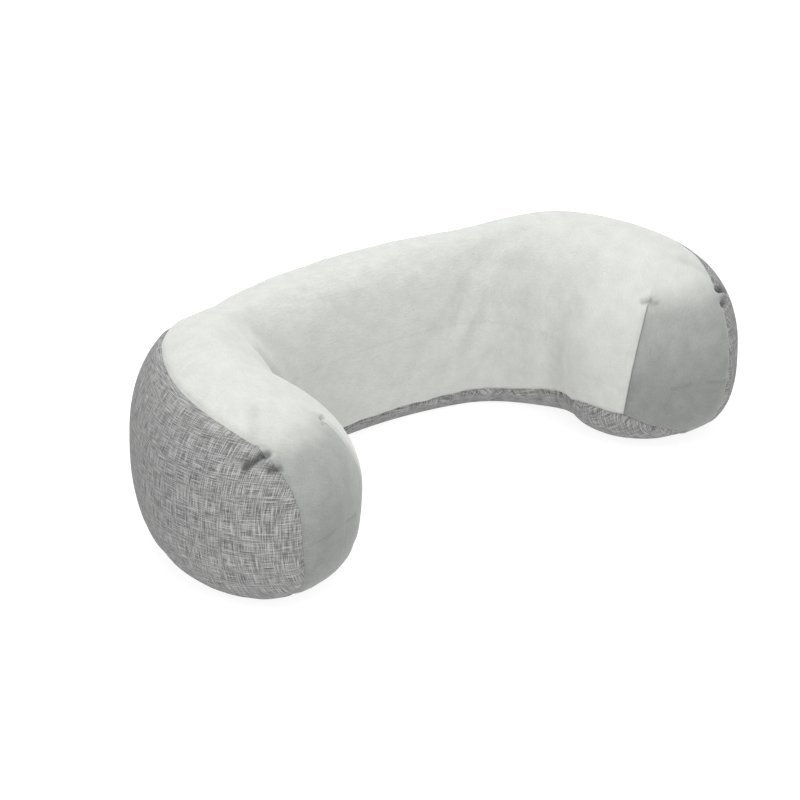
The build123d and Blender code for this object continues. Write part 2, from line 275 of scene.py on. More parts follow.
def dart_distance(points):
    """Signed distance from the plane of the arm's dart, positive towards the arm's end."""
    folded = right_half(points)
    x, y, z = folded[..., 0], folded[..., 1], folded[..., 2]
    level = x * math.sin(DART_TURN) - y * math.cos(DART_TURN)
    return level * math.cos(DART_LEAN) - z * math.sin(DART_LEAN) - DART_OFFSET


def plan_distance(points, line):
    """Signed distance from a plan line, positive on the outer side of the pillow."""
    flat = points.reshape(-1, 3)[:, :2]
    best = np.full(len(flat), np.inf)
    sign = np.ones(len(flat))
    for a, b in zip(line[:-1], line[1:]):
        step = b - a
        away = flat - a
        t = np.clip(away @ step / (step @ step), 0.0, 1.0)
        gap = away - t[:, None] * step
        distance = np.hypot(gap[:, 0], gap[:, 1])
        nearer = distance < best
        best[nearer] = distance[nearer]
        cross = step[0] * away[:, 1] - step[1] * away[:, 0]
        sign[nearer] = np.where(cross >= 0, 1.0, -1.0)[nearer]
    return (best * sign).reshape(points.shape[:-1])


def foot_height(points):
    """Height above the base panel's edge."""
    y, z = points[..., 1], points[..., 2]
    middle = np.stack([LINE_X, LINE_Y], axis=-1)[:: LINE_STEPS // 80]
    beyond = middle[-1] + (middle[-1] - middle[-2]) * 20
    outer = plan_distance(right_half(points), np.concatenate([middle, [beyond]]))
    inner_edge = np.interp(y, *INNER_FOOT_EDGE)
    outer_edge = np.interp(y, *OUTER_FOOT_EDGE)
    return z - np.where(outer > 0, outer_edge, inner_edge)


def zip_place(points):
    """Angle round the back's centre and distance up the wall from the zip's middle."""
    angle = np.arctan2(points[..., 0], points[..., 1] + BACK_RADIUS)
    return angle, points[..., 2] - ZIP_HEIGHT


def gap_distance(points):
    """Signed distance from the opening that bares the zip's chain, positive outside it."""
    angle, up = zip_place(points)
    radius = BACK_RADIUS + OUTER_WIDTH[0]
    along_gap = (np.abs(angle) - GAP_END) * radius
    up_gap = np.abs(up) - ZIP_GAP / 2
    inner = np.minimum(np.maximum(along_gap, up_gap), 0.0)
    outer = np.hypot(np.maximum(along_gap, 0.0), np.maximum(up_gap, 0.0))
    behind = points[..., 1] < -OUTER_WIDTH[0] * 2
    return np.where(behind, 1.0, inner + outer)


def crossings(points, values):
    """Points where a value on the grid changes sign between neighbours."""
    down = points[:-1], points[1:], values[:-1], values[1:]
    across = points[:, :-1], points[:, 1:], values[:, :-1], values[:, 1:]
    found = []
    for a, b, value_a, value_b in (down, across):
        changes = value_a * value_b < 0
        share = (value_a[changes] / (value_a[changes] - value_b[changes]))[:, None]
        found.append(a[changes] * (1 - share) + b[changes] * share)
    return np.concatenate(found)


def search_tree(points):
    tree = kdtree.KDTree(len(points))
    for i, point in enumerate(points):
        tree.insert(point, i)
    tree.balance()
    return tree


def nearest(points, targets):
    """Distance from each point to the nearest of some target points."""
    tree = search_tree(targets)
    flat = points.reshape(-1, 3)
    return np.array([tree.find(p)[2] for p in flat]).reshape(points.shape[:-1])


# ---------------------------------------------------------------- columns of the surface

# Each point of the surface is one row of numbers, cut and interpolated together.
X, Y, Z, CLOTH_U, CLOTH_V, BASE_U, BASE_V = range(7)
# Two of these columns carry painted shade: on the arms' ends and in the puckers' folds.
END_SHADE, DART, DART_SHOWN, FOLD_SHADE, TOP, FOOT, GAP = range(7, 14)
COLUMN_COUNT = 14
# Columns that the materials read, by the name of the mesh's attribute.
SHOWN_COLUMNS = {"end_shading": END_SHADE, "dart": DART, "dart_shown": DART_SHOWN, "fold_shading": FOLD_SHADE}


def steps_round(points):
    """Length of the way round each section to each point, from the outermost point."""
    step = np.linalg.norm(np.roll(points, -1, axis=1) - points, axis=-1)
    forward = np.concatenate([np.zeros((len(points), 1)), np.cumsum(step, axis=1)], axis=1)
    total = forward[:, -1:]
    return np.where(forward < total / 2, forward, forward - total)[:, :-1]


def steps_along(points):
    """Length of the way along the outermost line to each row, from the middle row."""
    line = points[:, 0]
    step = np.linalg.norm(np.diff(line, axis=0), axis=-1)
    way = np.concatenate([[0.0], np.cumsum(step)])
    return way - way[len(way) // 2]


def base_cloth(s, points):
    """The wall below the base's edge laid flat with the base, as two coordinates."""
    middle = COLUMNS * 3 // 4
    way = steps_round(points)
    way = way - way[:, middle:middle + 1]
    start = points[:, middle, :2]
    heading = turned(np.abs(s))
    side = np.where(s < 0, -1.0, 1.0)
    return start[:, :1] + side * way * np.sin(heading), start[:, 1:] + way * np.cos(heading)


# Painted shade on the arms' ends past the dart. It stands in for faces turned from the overhead
# light and for the pile lying another way there.
NAP_SHADE_TOP = 0.168         # painted shade on the pile past the dart starts below this height
NAP_SHADE_SOFT = 0.030        # most of the change comes in this much
NAP_SHADE_DROP = 0.080        # and the rest in this much below that
NAP_SHADE_FIRST = 0.74        # share of the change that comes first


def end_shade_share(points):
    """0 on top of an arm's end, rising to 1 down its face: how much painted shade the pile gets
    there.
    """
    over = ease((NAP_SHADE_TOP - points[..., 2]) / NAP_SHADE_SOFT)
    down = ease((NAP_SHADE_TOP - NAP_SHADE_SOFT - points[..., 2]) / NAP_SHADE_DROP)
    return NAP_SHADE_FIRST * over + (1 - NAP_SHADE_FIRST) * down


def dart_share(points, top):
    """1 where the dart's plane cuts the surface as a seam, and 0 where it doesn't."""
    below = ease((DART_TOP - points[..., 2]) / DART_FADE)
    return below * (top < -DART_CLEAR)


# ---------------------------------------------------------------- sewing

# Each seam: how deep and how wide it pulls in, then how high and how far beside it the
# cloth ripples.
SEAMS = (
    (0.0020, 0.0030, 0.0008, 0.012),    # the top seam
    (0.0012, 0.0030, 0.0009, 0.012),    # the base's seam
    (0.0018, 0.0024, 0.0006, 0.010),    # the darts
)
RIPPLE_SIZE, RIPPLE_SEED = 0.016, 3
# Lumps of the filling under the cloth: height, size and seed.
LUMPS = ((0.0011, 0.075, 1), (0.0004, 0.028, 2))
FOLD_SHOWN = 0.003      # a pucker this deep is wholly in the shade
# Puckers, on both arms: from one place to another, each as distance before the arm's tip
# and angle, with the depth and the half width. A negative depth is a ridge.
PUCKERS = (
    ((0.0485, 42.5), (0.0405, 56.0), 0.0058, 0.0028),
    ((0.0400, 49.0), (0.0365, 55.0), -0.0022, 0.0032),
    ((0.0345, 48.0), (0.0300, 52.5), 0.0034, 0.0026),
    ((0.0270, 50.0), (0.0250, 54.0), -0.0006, 0.0040),
    ((0.0560, 62.0), (0.0700, 76.0), 0.0008, 0.0060),
    ((0.0485, 120.0), (0.0455, 115.0), 0.0022, 0.0024),
    ((0.0415, 116.5), (0.0400, 113.0), 0.0016, 0.0022),
    ((0.0520, 117.0), (0.0500, 110.0), -0.0007, 0.0040),
    ((0.0040, 191.0), (0.0005, 191.0), 0.0009, 0.0020),
    ((0.0005, -12.0), (0.0073, -12.0), 0.0009, 0.0020),
)


def bell(distance, width):
    """1 at no distance, falling smoothly to almost nothing at twice the width."""
    return np.exp(-(distance / width) ** 2)


def waves(points, size, seed):
    """Smooth noise of about this size at each point, from -1 to 1."""
    start = Vector((17.3 * seed, 5.1 * seed, 11.7 * seed))
    flat = points.reshape(-1, 3) / size
    values = [noise.noise(Vector(point) + start) for point in flat]
    return np.array(values).reshape(points.shape[:-1])


def both_sides(points):
    """The same points on the right arm and, mirrored, on the left one."""
    return np.concatenate([points, points * np.array([-1.0, 1.0, 1.0])])


def crease(points, start, stop, steps=40):
    """Distance to a short crease on the surface between two places, on both arms."""
    t = np.linspace(0.0, 1.0, steps)
    s = REACH - start[0] - (stop[0] - start[0]) * t
    angle = start[1] + (stop[1] - start[1]) * t
    return nearest(points, both_sides(surface(s, angle)))


def seam_lines(points, top, foot, dart):
    """Points along the top seam, the base's seam and the two darts."""
    top_line = crossings(points, np.where(foot > 0, top, np.abs(top) + 1))
    dart_line = crossings(points, dart)
    low = foot_height(dart_line)
    inner = plan_distance(right_half(dart_line), top_seam_plan()) < -DART_CLEAR
    shown = (dart_line[:, 2] < DART_TOP) & (low > 0) & inner
    return top_line, crossings(points, foot), dart_line[shown]


def pucker_depth(points):
    """How far the puckers and creases pull each point in."""
    depth = np.zeros(points.shape[:-1])
    for start, stop, pull, width in PUCKERS:
        depth += pull * bell(crease(points, start, stop), width)
    return depth


def sewing_depth(points, lines):
    """How far the seams and darts pull each point in."""
    ripple = waves(points, RIPPLE_SIZE, RIPPLE_SEED)
    depth = np.zeros(points.shape[:-1])
    for line, (pull, width, ripple_height, ripple_width) in zip(lines, SEAMS):
        away = nearest(points, line)
        depth += pull * bell(away, width) + ripple_height * ripple * bell(away, ripple_width)
    return depth


def undulation(points):
    """The filling's own unevenness under the cloth, outward."""
    return sum(height * waves(points, size, seed) for height, size, seed in LUMPS)


# ---------------------------------------------------------------- blowing up the cover

VOXEL = 0.006           # size of the simulated cover's faces
START_IN = 0.0015       # the cloth starts this far inside the cover
MOST_IN = 0.0092        # no seam or pucker goes deeper, to stay clear of the liner
RESTING = 0.004         # below this height the underside lies flat on the floor
BLOWN_MOST = 0.0055     # the furthest that the pressure may move it
PRESSURE = 4.0
BENDING = 2.0
CLOTH_QUALITY = 5
SIM_FRAMES = 20
NEAR_POINTS = 6         # each point moves with this many points of the simulated cover


def new_mesh_object(name, points, faces):
    """A mesh object in the scene, of these points and faces."""
    mesh = bpy.data.meshes.new(name)
    mesh.from_pydata([tuple(point) for point in points], [], [tuple(face) for face in faces])
    mesh.update()
    piece = bpy.data.objects.new(name, mesh)
    bpy.context.scene.collection.objects.link(piece)
    return piece


def mesh_points(mesh):
    """A mesh's points as an array."""
    points = np.zeros(len(mesh.vertices) * 3, np.float32)
    mesh.vertices.foreach_get("co", points)
    return points.reshape(-1, 3).astype(float)


def evaluated_points(piece):
    """An object's points with its modifiers applied."""
    shown = piece.evaluated_get(bpy.context.evaluated_depsgraph_get())
    mesh = shown.to_mesh()
    points = mesh_points(mesh)
    shown.to_mesh_clear()
    return points


def even_cover(start, faces):
    """The cover as one object of even faces, for the simulation."""
    piece = new_mesh_object("blown_cover", start, faces)
    remesh = piece.modifiers.new("voxels", "REMESH")
    remesh.mode = "VOXEL"
    remesh.voxel_size = VOXEL
    shown = piece.evaluated_get(bpy.context.evaluated_depsgraph_get())
    piece.data = bpy.data.meshes.new_from_object(shown)
    piece.modifiers.clear()
    return piece


def held_group(piece, rest, seam_points):
    """Vertex group that holds the seams and the underside still."""
    away = nearest(rest, seam_points)
    held = 1 - ease((away - VOXEL) / (2 * VOXEL))
    held = np.maximum(held, rest[:, 2] < 2 * VOXEL)
    group = piece.vertex_groups.new(name="held")
    for i in np.nonzero(held > 0)[0]:
        group.add([int(i)], float(held[i]), "REPLACE")
    return group


def blow(piece, group):
    """Runs the cloth simulation and leaves the object as it is at its last frame."""
    cloth = piece.modifiers.new("cloth", "CLOTH")
    cloth.settings.use_pressure = True
    cloth.settings.uniform_pressure_force = PRESSURE
    cloth.settings.effector_weights.gravity = 0.0
    cloth.settings.vertex_group_mass = group.name
    cloth.settings.quality = CLOTH_QUALITY
    cloth.settings.bending_stiffness = BENDING
    cloth.point_cache.frame_end = SIM_FRAMES
    for number in range(1, SIM_FRAMES + 1):
        bpy.context.scene.frame_set(number)


def blown_out(points, faces, normals, seam_points):
    """How far air pressure blows each point out between the seams, by a cloth simulation."""
    start = (points - normals * START_IN).reshape(-1, 3)
    piece = even_cover(start, faces)
    rest = mesh_points(piece.data)
    blow(piece, held_group(piece, rest, seam_points))
    moved = evaluated_points(piece) - rest
    bpy.context.scene.frame_set(1)
    bpy.data.objects.remove(piece)
    length = np.linalg.norm(moved, axis=1, keepdims=True)
    moved *= np.minimum(1.0, BLOWN_MOST / np.maximum(length, 1e-9))
    tree = search_tree(rest)
    out = []
    for point, normal in zip(start, normals.reshape(-1, 3)):
        near = tree.find_n(point, NEAR_POINTS)
        weight = np.array([1 / (distance + VOXEL / 3) ** 2 for _, _, distance in near])
        mean = weight @ moved[[i for _, i, _ in near]] / weight.sum()
        out.append(mean @ normal - START_IN)
    return np.array(out).reshape(points.shape[:-1])


def sewn_surface():
    """The cover's outer surface as rows of columns, and its faces."""
    s, angle, faces = grid(0.0)
    smooth = surface(s, angle)
    normals = grid_normals(smooth)
    top, foot, dart = side_distance(smooth), foot_height(smooth), dart_distance(smooth)
    lines = seam_lines(smooth, top, foot, dart)
    folds = pucker_depth(smooth)
    out = undulation(smooth) - sewing_depth(smooth, lines) - folds
    out += blown_out(smooth, faces, normals, np.concatenate(lines))
    out = np.maximum(out, -MOST_IN) * ease(smooth[..., 2] / RESTING)
    points = smooth + normals * out[..., None]
    points[..., 2] = np.maximum(points[..., 2], 0.0)
    columns = np.zeros(s.shape + (COLUMN_COUNT,))
    columns[..., X:Z + 1] = points + np.array([0.0, PLAN_SHIFT, 0.0])
    columns[..., CLOTH_U] = steps_along(smooth)[:, None]
    columns[..., CLOTH_V] = steps_round(smooth)
    columns[..., BASE_U], columns[..., BASE_V] = base_cloth(s, smooth)
    # painted shade on the arms' ends
    columns[..., END_SHADE] = end_shade_share(smooth)
    columns[..., DART] = dart
    columns[..., DART_SHOWN] = dart_share(smooth, top)
    # painted shade in the puckers' folds
    columns[..., FOLD_SHADE] = np.clip(folds / FOLD_SHOWN, 0.0, 1.0)
    columns[..., TOP] = top
    columns[..., FOOT] = foot
    columns[..., GAP] = gap_distance(smooth)
    return columns.reshape(-1, COLUMN_COUNT), faces


# ---------------------------------------------------------------- cutting panels


def cut(data, polygons, keep):
    """The part of a mesh where keep, one value a point, is positive, cut through its faces."""
    made, extra, kept = {}, [], []

    def crossing(a, b):
        key = (min(a, b), max(a, b))
        if key not in made:
            share = keep[key[0]] / (keep[key[0]] - keep[key[1]])
            extra.append(data[key[0]] * (1 - share) + data[key[1]] * share)
            made[key] = len(data) + len(extra) - 1
        return made[key]

    inside = keep > 0
    for polygon in polygons:
        count = sum(inside[i] for i in polygon)
        if count == 0:
            continue
        if count == len(polygon):
            kept.append(polygon)
            continue
        part = []
        for a, b in zip(polygon, polygon[1:] + polygon[:1]):
            if inside[a]:
                part.append(a)
            if inside[a] != inside[b]:
                part.append(crossing(a, b))
        if len(part) > 2:
            kept.append(part)
    joined = np.concatenate([data, np.array(extra).reshape(-1, data.shape[1])])
    used = np.array(sorted({i for polygon in kept for i in polygon}))
    index = np.full(len(joined), -1)
    index[used] = np.arange(len(used))
    return joined[used], [[int(index[i]) for i in polygon] for polygon in kept]


def cut_all(data, polygons, rules):
    """Cuts by several columns in turn, each kept where it is above or below zero."""
    for column, sign in rules:
        data, polygons = cut(data, polygons, data[:, column] * sign)
    return data, polygons


def cloth_piece(name, data, polygons, thickness, material, cloth=(CLOTH_U, CLOTH_V)):
    """One panel of cloth, thickened inward, with its thread directions and the values that place
    its painted shade.
    """
    piece = new_mesh_object(name, data[:, :3], polygons)
    mesh = piece.data
    order = np.zeros(len(mesh.loops), np.int32)
    mesh.loops.foreach_get("vertex_index", order)
    layer = mesh.uv_layers.new(name="cloth")
    layer.data.foreach_set("uv", data[order][:, list(cloth)].astype(np.float32).ravel())
    for key, column in SHOWN_COLUMNS.items():
        values = mesh.attributes.new(key, "FLOAT", "POINT")
        values.data.foreach_set("value", data[:, column].astype(np.float32))
    mesh.polygons.foreach_set("use_smooth", [True] * len(mesh.polygons))
    mesh.materials.append(material)
    thick = piece.modifiers.new("thickness", "SOLIDIFY")
    thick.thickness = thickness
    thick.offset = -1.0
    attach(piece, "pillow")
    return piece


# ---------------------------------------------------------------- materials

# Places of the colour inputs and of the colour output on a mix node.
MIX_FIRST, MIX_SECOND, MIX_RESULT = 6, 7, 2


class Nodes:
    """A material's nodes, added one at a time and joined by name."""

    def __init__(self, name):
        self.material = bpy.data.materials.new(name)
        self.material.use_nodes = True
        self.tree = self.material.node_tree
        self.tree.nodes.clear()
        self.shader = self.add("ShaderNodeBsdfPrincipled")
        output = self.add("ShaderNodeOutputMaterial")
        self.link(self.shader, "BSDF", output, "Surface")

    def add(self, kind, **settings):
        """A new node with these properties."""
        node = self.tree.nodes.new(kind)
        for key, value in settings.items():
            setattr(node, key, value)
        return node

    def link(self, a, output, b, entry):
        self.tree.links.new(a.outputs[output], b.inputs[entry])

    def cloth_place(self, scale):
        """Position in the cloth's own directions, in metres, times a scale in each."""
        uv = self.add("ShaderNodeUVMap", uv_map="cloth")
        place = self.add("ShaderNodeMapping")
        place.inputs["Scale"].default_value = scale
        self.link(uv, "UV", place, "Vector")
        return place

    def noise(self, place, detail=2.0, scale=1.0):
        """Noise at a place, with this many spots in a metre."""
        node = self.add("ShaderNodeTexNoise")
        node.inputs["Scale"].default_value = scale
        node.inputs["Detail"].default_value = detail
        self.link(place, "Vector" if "Vector" in place.outputs else "Object", node, "Vector")
        return node

    def spread(self, node, output, low, high, to_low=0.0, to_high=1.0):
        """A value stretched from low..high to another range, and held inside it."""
        stretch = self.add("ShaderNodeMapRange")
        stretch.inputs["From Min"].default_value = low
        stretch.inputs["From Max"].default_value = high
        stretch.inputs["To Min"].default_value = to_low
        stretch.inputs["To Max"].default_value = to_high
        self.link(node, output, stretch, "Value")
        return stretch

    def math(self, kind, a, b):
        """Two values, nodes or numbers, joined by a sum, product or maximum."""
        node = self.add("ShaderNodeMath", operation=kind)
        for i, value in enumerate((a, b)):
            if isinstance(value, (int, float)):
                node.inputs[i].default_value = value
            else:
                self.link(value, 0, node, i)
        return node

    def product(self, a, output, b, other):
        """One output of a node times an output of another."""
        node = self.add("ShaderNodeMath", operation="MULTIPLY")
        self.link(a, output, node, 0)
        self.link(b, other, node, 1)
        return node

    def mix(self, share, first, second):
        """A colour between two, each a colour or a node, by a node's value."""
        node = self.add("ShaderNodeMix", data_type="RGBA")
        self.link(share, 0, node, 0)
        for entry, value in ((MIX_FIRST, first), (MIX_SECOND, second)):
            if isinstance(value, tuple):
                node.inputs[entry].default_value = value
            else:
                self.link(value, MIX_RESULT, node, entry)
        return node

    def colour(self, node):
        """Makes a mix node's colour the material's own."""
        self.link(node, MIX_RESULT, self.shader, "Base Color")

    def bump(self, height, distance, strength=1.0):
        """Raises the surface by a node's value, this far at most."""
        node = self.add("ShaderNodeBump")
        node.inputs["Strength"].default_value = strength
        node.inputs["Distance"].default_value = distance
        self.link(height, 0, node, "Height")
        self.link(node, "Normal", self.shader, "Normal")

    def value(self, **values):
        """Sets the shader's inputs, spelled with underscores."""
        for key, value in values.items():
            self.shader.inputs[key.replace("_", " ")].default_value = value


def grey(level, warm=0.0):
    """A grey of this linear brightness, a little warmer or cooler."""
    return (level * (1 + warm), level, level * (1 - warm), 1.0)


VELOUR_DEEP, VELOUR_PALE = (0.362, 0.370, 0.350, 1.0), (0.505, 0.512, 0.490, 1.0)
# Painted shade: darker velour for the arms' ends past the dart.
VELOUR_END_SHADE_DEEP, VELOUR_END_SHADE_PALE = (0.130, 0.138, 0.131, 1.0), (0.245, 0.256, 0.244, 1.0)
# Painted shade in the puckers' folds.
VELOUR_FOLD_SHADE = (0.10, 0.105, 0.10, 1.0)
VELOUR_PATCHES, VELOUR_FIBRES = 75.0, 1100.0    # spots of the pile in a metre
BRUSHED_LENGTH, BRUSHED_WIDTH = 0.009, 0.0014
DART_SHADE_LINE = (0.0003, 0.0010)  # painted shadow of the dart's sunk seam: the dark line fades between these distances from it
MELANGE_DEEP, MELANGE_PALE = grey(0.110, 0.010), grey(0.305, 0.006)
# The dark slub colour also serves as painted shade in the puckers' folds.
MELANGE_SLUB_DARK_AND_FOLD_SHADE, MELANGE_SLUB_PALE = grey(0.035, 0.01), grey(0.48, 0.0)
YARN_LENGTH, YARN_WIDTH = 0.012, 0.0006
SLUB_LENGTH, SLUB_WIDTH = 0.016, 0.0008
MELANGE_PITCH = 0.0009


def velour_material():
    """Short soft pile: mottled by the way it lies, with painted shade on the arms' ends past the
    dart, along the dart and in the puckers' folds.
    """
    m = Nodes("velour")
    place = m.add("ShaderNodeTexCoord")
    patches = m.noise(place, 5.0, VELOUR_PATCHES)
    brushed = m.noise(m.cloth_place((1 / BRUSHED_LENGTH, 1 / BRUSHED_WIDTH, 1.0)), 2.0)
    fibres = m.noise(place, 3.0, VELOUR_FIBRES)
    mottle = m.spread(patches, 0, 0.34, 0.66, 0.07, 0.31)
    streak = m.spread(brushed, 0, 0.34, 0.66, 0.0, 0.16)
    speckle = m.spread(fibres, 0, 0.30, 0.70, 0.0, 0.44)
    lie = m.math("ADD", m.math("ADD", mottle, streak), speckle)
    light = m.mix(lie, VELOUR_DEEP, VELOUR_PALE)
    # painted shade on the arms' ends past the dart
    dark = m.mix(lie, VELOUR_END_SHADE_DEEP, VELOUR_END_SHADE_PALE)
    end_shaded = m.mix(end_shade_past_dart(m), light, dark)
    # painted shade along the dart's line and in the puckers' folds
    m.colour(m.mix(velour_shade(m), end_shaded, VELOUR_FOLD_SHADE))
    m.value(Roughness=0.95, Sheen_Weight=0.30, Sheen_Roughness=0.45, Specular_IOR_Level=0.15)
    m.bump(m.math("ADD", m.math("ADD", patches, brushed), fibres), 0.0005, 0.6)
    return m.material


def end_shade_past_dart(m):
    """How much painted shade the pile of the arm's end gets: nothing before the dart."""
    dart = m.add("ShaderNodeAttribute", attribute_name="dart")
    end_shading = m.add("ShaderNodeAttribute", attribute_name="end_shading")
    past = m.spread(dart, "Fac", -0.0004, 0.0004)
    return m.product(past, 0, end_shading, "Fac")


def velour_shade(m):
    """Painted shade: a dark line along the dart, for the shadow in its sunk seam, and darkening in
    the folds beside the seams.
    """
    dart = m.add("ShaderNodeAttribute", attribute_name="dart")
    shown = m.add("ShaderNodeAttribute", attribute_name="dart_shown")
    fold_shading = m.add("ShaderNodeAttribute", attribute_name="fold_shading")
    off = m.add("ShaderNodeMath", operation="ABSOLUTE")
    m.link(dart, "Fac", off, 0)
    line = m.product(m.spread(off, 0, *DART_SHADE_LINE, 0.70, 0.0), 0, shown, "Fac")
    return m.math("MAXIMUM", line, m.spread(fold_shading, "Fac", 0.0, 1.0, 0.0, 0.55))


def yarns(m, length, width, detail):
    """Noise drawn out into yarns of this size, across the cloth and up it."""
    across = m.noise(m.cloth_place((1 / length, 1 / width, 1.0)), detail)
    upward = m.noise(m.cloth_place((1 / width, 1 / length, 1.0)), detail)
    return across, upward


def melange_material():
    """Woven heather cloth: thin light and dark yarns both ways, thick and thin in places."""
    m = Nodes("melange")
    yarn = m.math("ADD", *yarns(m, YARN_LENGTH, YARN_WIDTH, 2.0))
    slubs = yarns(m, SLUB_LENGTH, SLUB_WIDTH, 0.5)
    dark = m.math("MAXIMUM", *[m.spread(slub, 0, 0.58, 0.68) for slub in slubs])
    light = m.math("MAXIMUM", *[m.spread(slub, 0, 0.42, 0.33) for slub in slubs])
    body = m.mix(m.spread(yarn, 0, 0.80, 1.20), MELANGE_DEEP, MELANGE_PALE)
    with_dark = m.mix(m.math("MULTIPLY", dark, 0.55), body, MELANGE_SLUB_DARK_AND_FOLD_SHADE)
    cloth = m.mix(m.math("MULTIPLY", light, 0.45), with_dark, MELANGE_SLUB_PALE)
    # painted shade in the puckers' folds, in the dark slub colour
    fold_shading = m.add("ShaderNodeAttribute", attribute_name="fold_shading")
    m.colour(m.mix(m.spread(fold_shading, "Fac", 0.0, 1.0, 0.0, 0.6), cloth, MELANGE_SLUB_DARK_AND_FOLD_SHADE))
    m.value(Roughness=0.9, Sheen_Weight=0.10, Specular_IOR_Level=0.2)
    m.bump(m.math("ADD", yarn, weave_height(m, MELANGE_PITCH)), 0.00025, 0.7)
    return m.material


def weave_height(m, pitch):
    """Height of a plain weave of yarns this far apart."""
    place = m.cloth_place((1 / pitch, 1 / pitch, 1.0))
    axes = m.add("ShaderNodeSeparateXYZ")
    m.link(place, "Vector", axes, "Vector")
    both_ways = []
    for axis in ("X", "Y"):
        turn = m.add("ShaderNodeMath", operation="MULTIPLY")
        m.link(axes, axis, turn, 0)
        turn.inputs[1].default_value = math.pi
        wave = m.add("ShaderNodeMath", operation="SINE")
        m.link(turn, 0, wave, 0)
        both_ways.append(wave)
    return m.math("MULTIPLY", *both_ways)


def solid_weave(name, deep, pale, pitch, rough=0.8):
    """A plain cloth or tape without its own thread directions, woven along its box."""
    m = Nodes(name)
    place = m.add("ShaderNodeTexCoord")
    grain = m.noise(place, 3.0, 1 / (pitch * 3))
    threads = m.add("ShaderNodeTexWave", wave_type="BANDS", bands_direction="DIAGONAL")
    threads.inputs["Scale"].default_value = 0.3 / pitch
    threads.inputs["Distortion"].default_value = 0.6
    m.link(place, "Object", threads, "Vector")
    height = m.math("ADD", m.math("MULTIPLY", threads, 0.6), grain)
    m.colour(m.mix(m.spread(height, 0, 0.4, 1.2), deep, pale))
    m.value(Roughness=rough, Specular_IOR_Level=0.25)
    m.bump(height, pitch / 4, 0.6)
    return m.material


FOAM_CELLS = 500.0      # in a metre


def foam_material():
    """Stuffing seen as fine open foam."""
    m = Nodes("foam")
    place = m.add("ShaderNodeTexCoord")
    cells = m.add("ShaderNodeTexVoronoi", feature="DISTANCE_TO_EDGE")
    cells.inputs["Scale"].default_value = FOAM_CELLS
    m.link(place, "Object", cells, "Vector")
    m.colour(m.mix(m.spread(cells, 0, 0.0, 0.25), grey(0.50, 0.06), grey(0.78, 0.05)))
    m.value(Roughness=1.0, Specular_IOR_Level=0.1)
    m.bump(cells, 0.0006, 0.6)
    return m.material


def enamel_material():
    """Painted zinc of the slider and its tab, with fine casting grain."""
    m = Nodes("zip_metal")
    place = m.add("ShaderNodeTexCoord")
    grain = m.noise(place, 4.0, 1800.0)
    worn = m.noise(place, 2.0, 160.0)
    m.colour(m.mix(m.spread(worn, 0, 0.35, 0.65), grey(0.30), grey(0.37, 0.01)))
    m.link(m.spread(grain, 0, 0.3, 0.7, 0.26, 0.42), 0, m.shader, "Roughness")
    m.value(Metallic=0.35, Specular_IOR_Level=0.5)
    m.bump(grain, 0.00005, 0.4)
    return m.material


def coil_material():
    """Glossy polyester filament."""
    m = Nodes("zip_coil")
    place = m.add("ShaderNodeTexCoord")
    tint = m.noise(place, 2.0, 400.0)
    m.colour(m.mix(m.spread(tint, 0, 0.3, 0.7), grey(0.27), grey(0.34)))
    m.value(Roughness=0.35, Specular_IOR_Level=0.5)
    m.bump(tint, 0.00003, 0.3)
    return m.material


VELOUR = velour_material()
MELANGE = melange_material()
LINER_CLOTH = solid_weave("liner_cloth", grey(0.62, 0.01), grey(0.80, 0.01), 0.0006)
ZIP_TAPE = solid_weave("zip_tape", grey(0.25), grey(0.36), 0.0005)
LABEL_CLOTH = solid_weave("label_cloth", grey(0.74), grey(0.86), 0.00025, 0.55)
FOAM = foam_material()
ZIP_METAL = enamel_material()
ZIP_COIL = coil_material()

# ---------------------------------------------------------------- cover, liner and filling


def cover_panels():
    """The cover's three panels, cut from one sewn surface."""
    data, faces = sewn_surface()
    polygons = faces.tolist()
    rules = {
        "velour_top": [(FOOT, 1), (TOP, -1)],
        "melange_side": [(FOOT, 1), (TOP, 1), (GAP, 1)],
        "melange_base": [(FOOT, -1), (GAP, 1)],
    }
    return {name: cut_all(data, polygons, rule) for name, rule in rules.items()}


INNER_DETAIL = 0.6      # the liner's and the filling's grids are this much coarser


def liner_surface(depth):
    """The liner's or the filling's smooth outer surface, further inside the cover."""
    s, angle, faces = grid(depth, INNER_DETAIL)
    smooth = surface(s, angle, depth)
    columns = np.zeros(s.shape + (COLUMN_COUNT,))
    columns[..., X:Z + 1] = smooth + np.array([0.0, PLAN_SHIFT, 0.0])
    columns[..., CLOTH_U] = steps_along(smooth)[:, None]
    columns[..., CLOTH_V] = steps_round(smooth)
    columns[..., FOOT] = smooth[..., 2] - LINER_SEAM_HEIGHT
    return columns.reshape(-1, COLUMN_COUNT), faces.tolist()


def make_cover():
    """The cover's three panels as pieces, by name."""
    panels, pieces = cover_panels(), {}
    for name, node, flat, area, slot, cloth in COVER_CUTS:
        data, polygons = panels[name]
        material = VELOUR if slot == "velour" else MELANGE
        piece = cloth_piece(name, data, polygons, COVER_THICKNESS, material, cloth)
        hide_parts(node)
        pieces[name] = piece
    return pieces


def make_liner():
    """The liner's upper and lower parts."""
    surface_rows = liner_surface(LINER_DEPTH)
    for name, node, sign, flat, area in LINER_CUTS:
        data, polygons = cut_all(*surface_rows, [(FOOT, sign)])
        piece = cloth_piece(name, data, polygons, LINER_THICKNESS, LINER_CLOTH)
        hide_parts(node)


def make_filling():
    """The foam core's visible shape, which replaces the CAD's."""
    data, polygons = liner_surface(FOAM_DEPTH)
    piece = new_mesh_object("filling", data[:, :3], polygons)
    piece.data.polygons.foreach_set("use_smooth", [True] * len(polygons))
    piece.data.materials.append(FOAM)
    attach(piece, "pillow")
    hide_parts("foam_core")


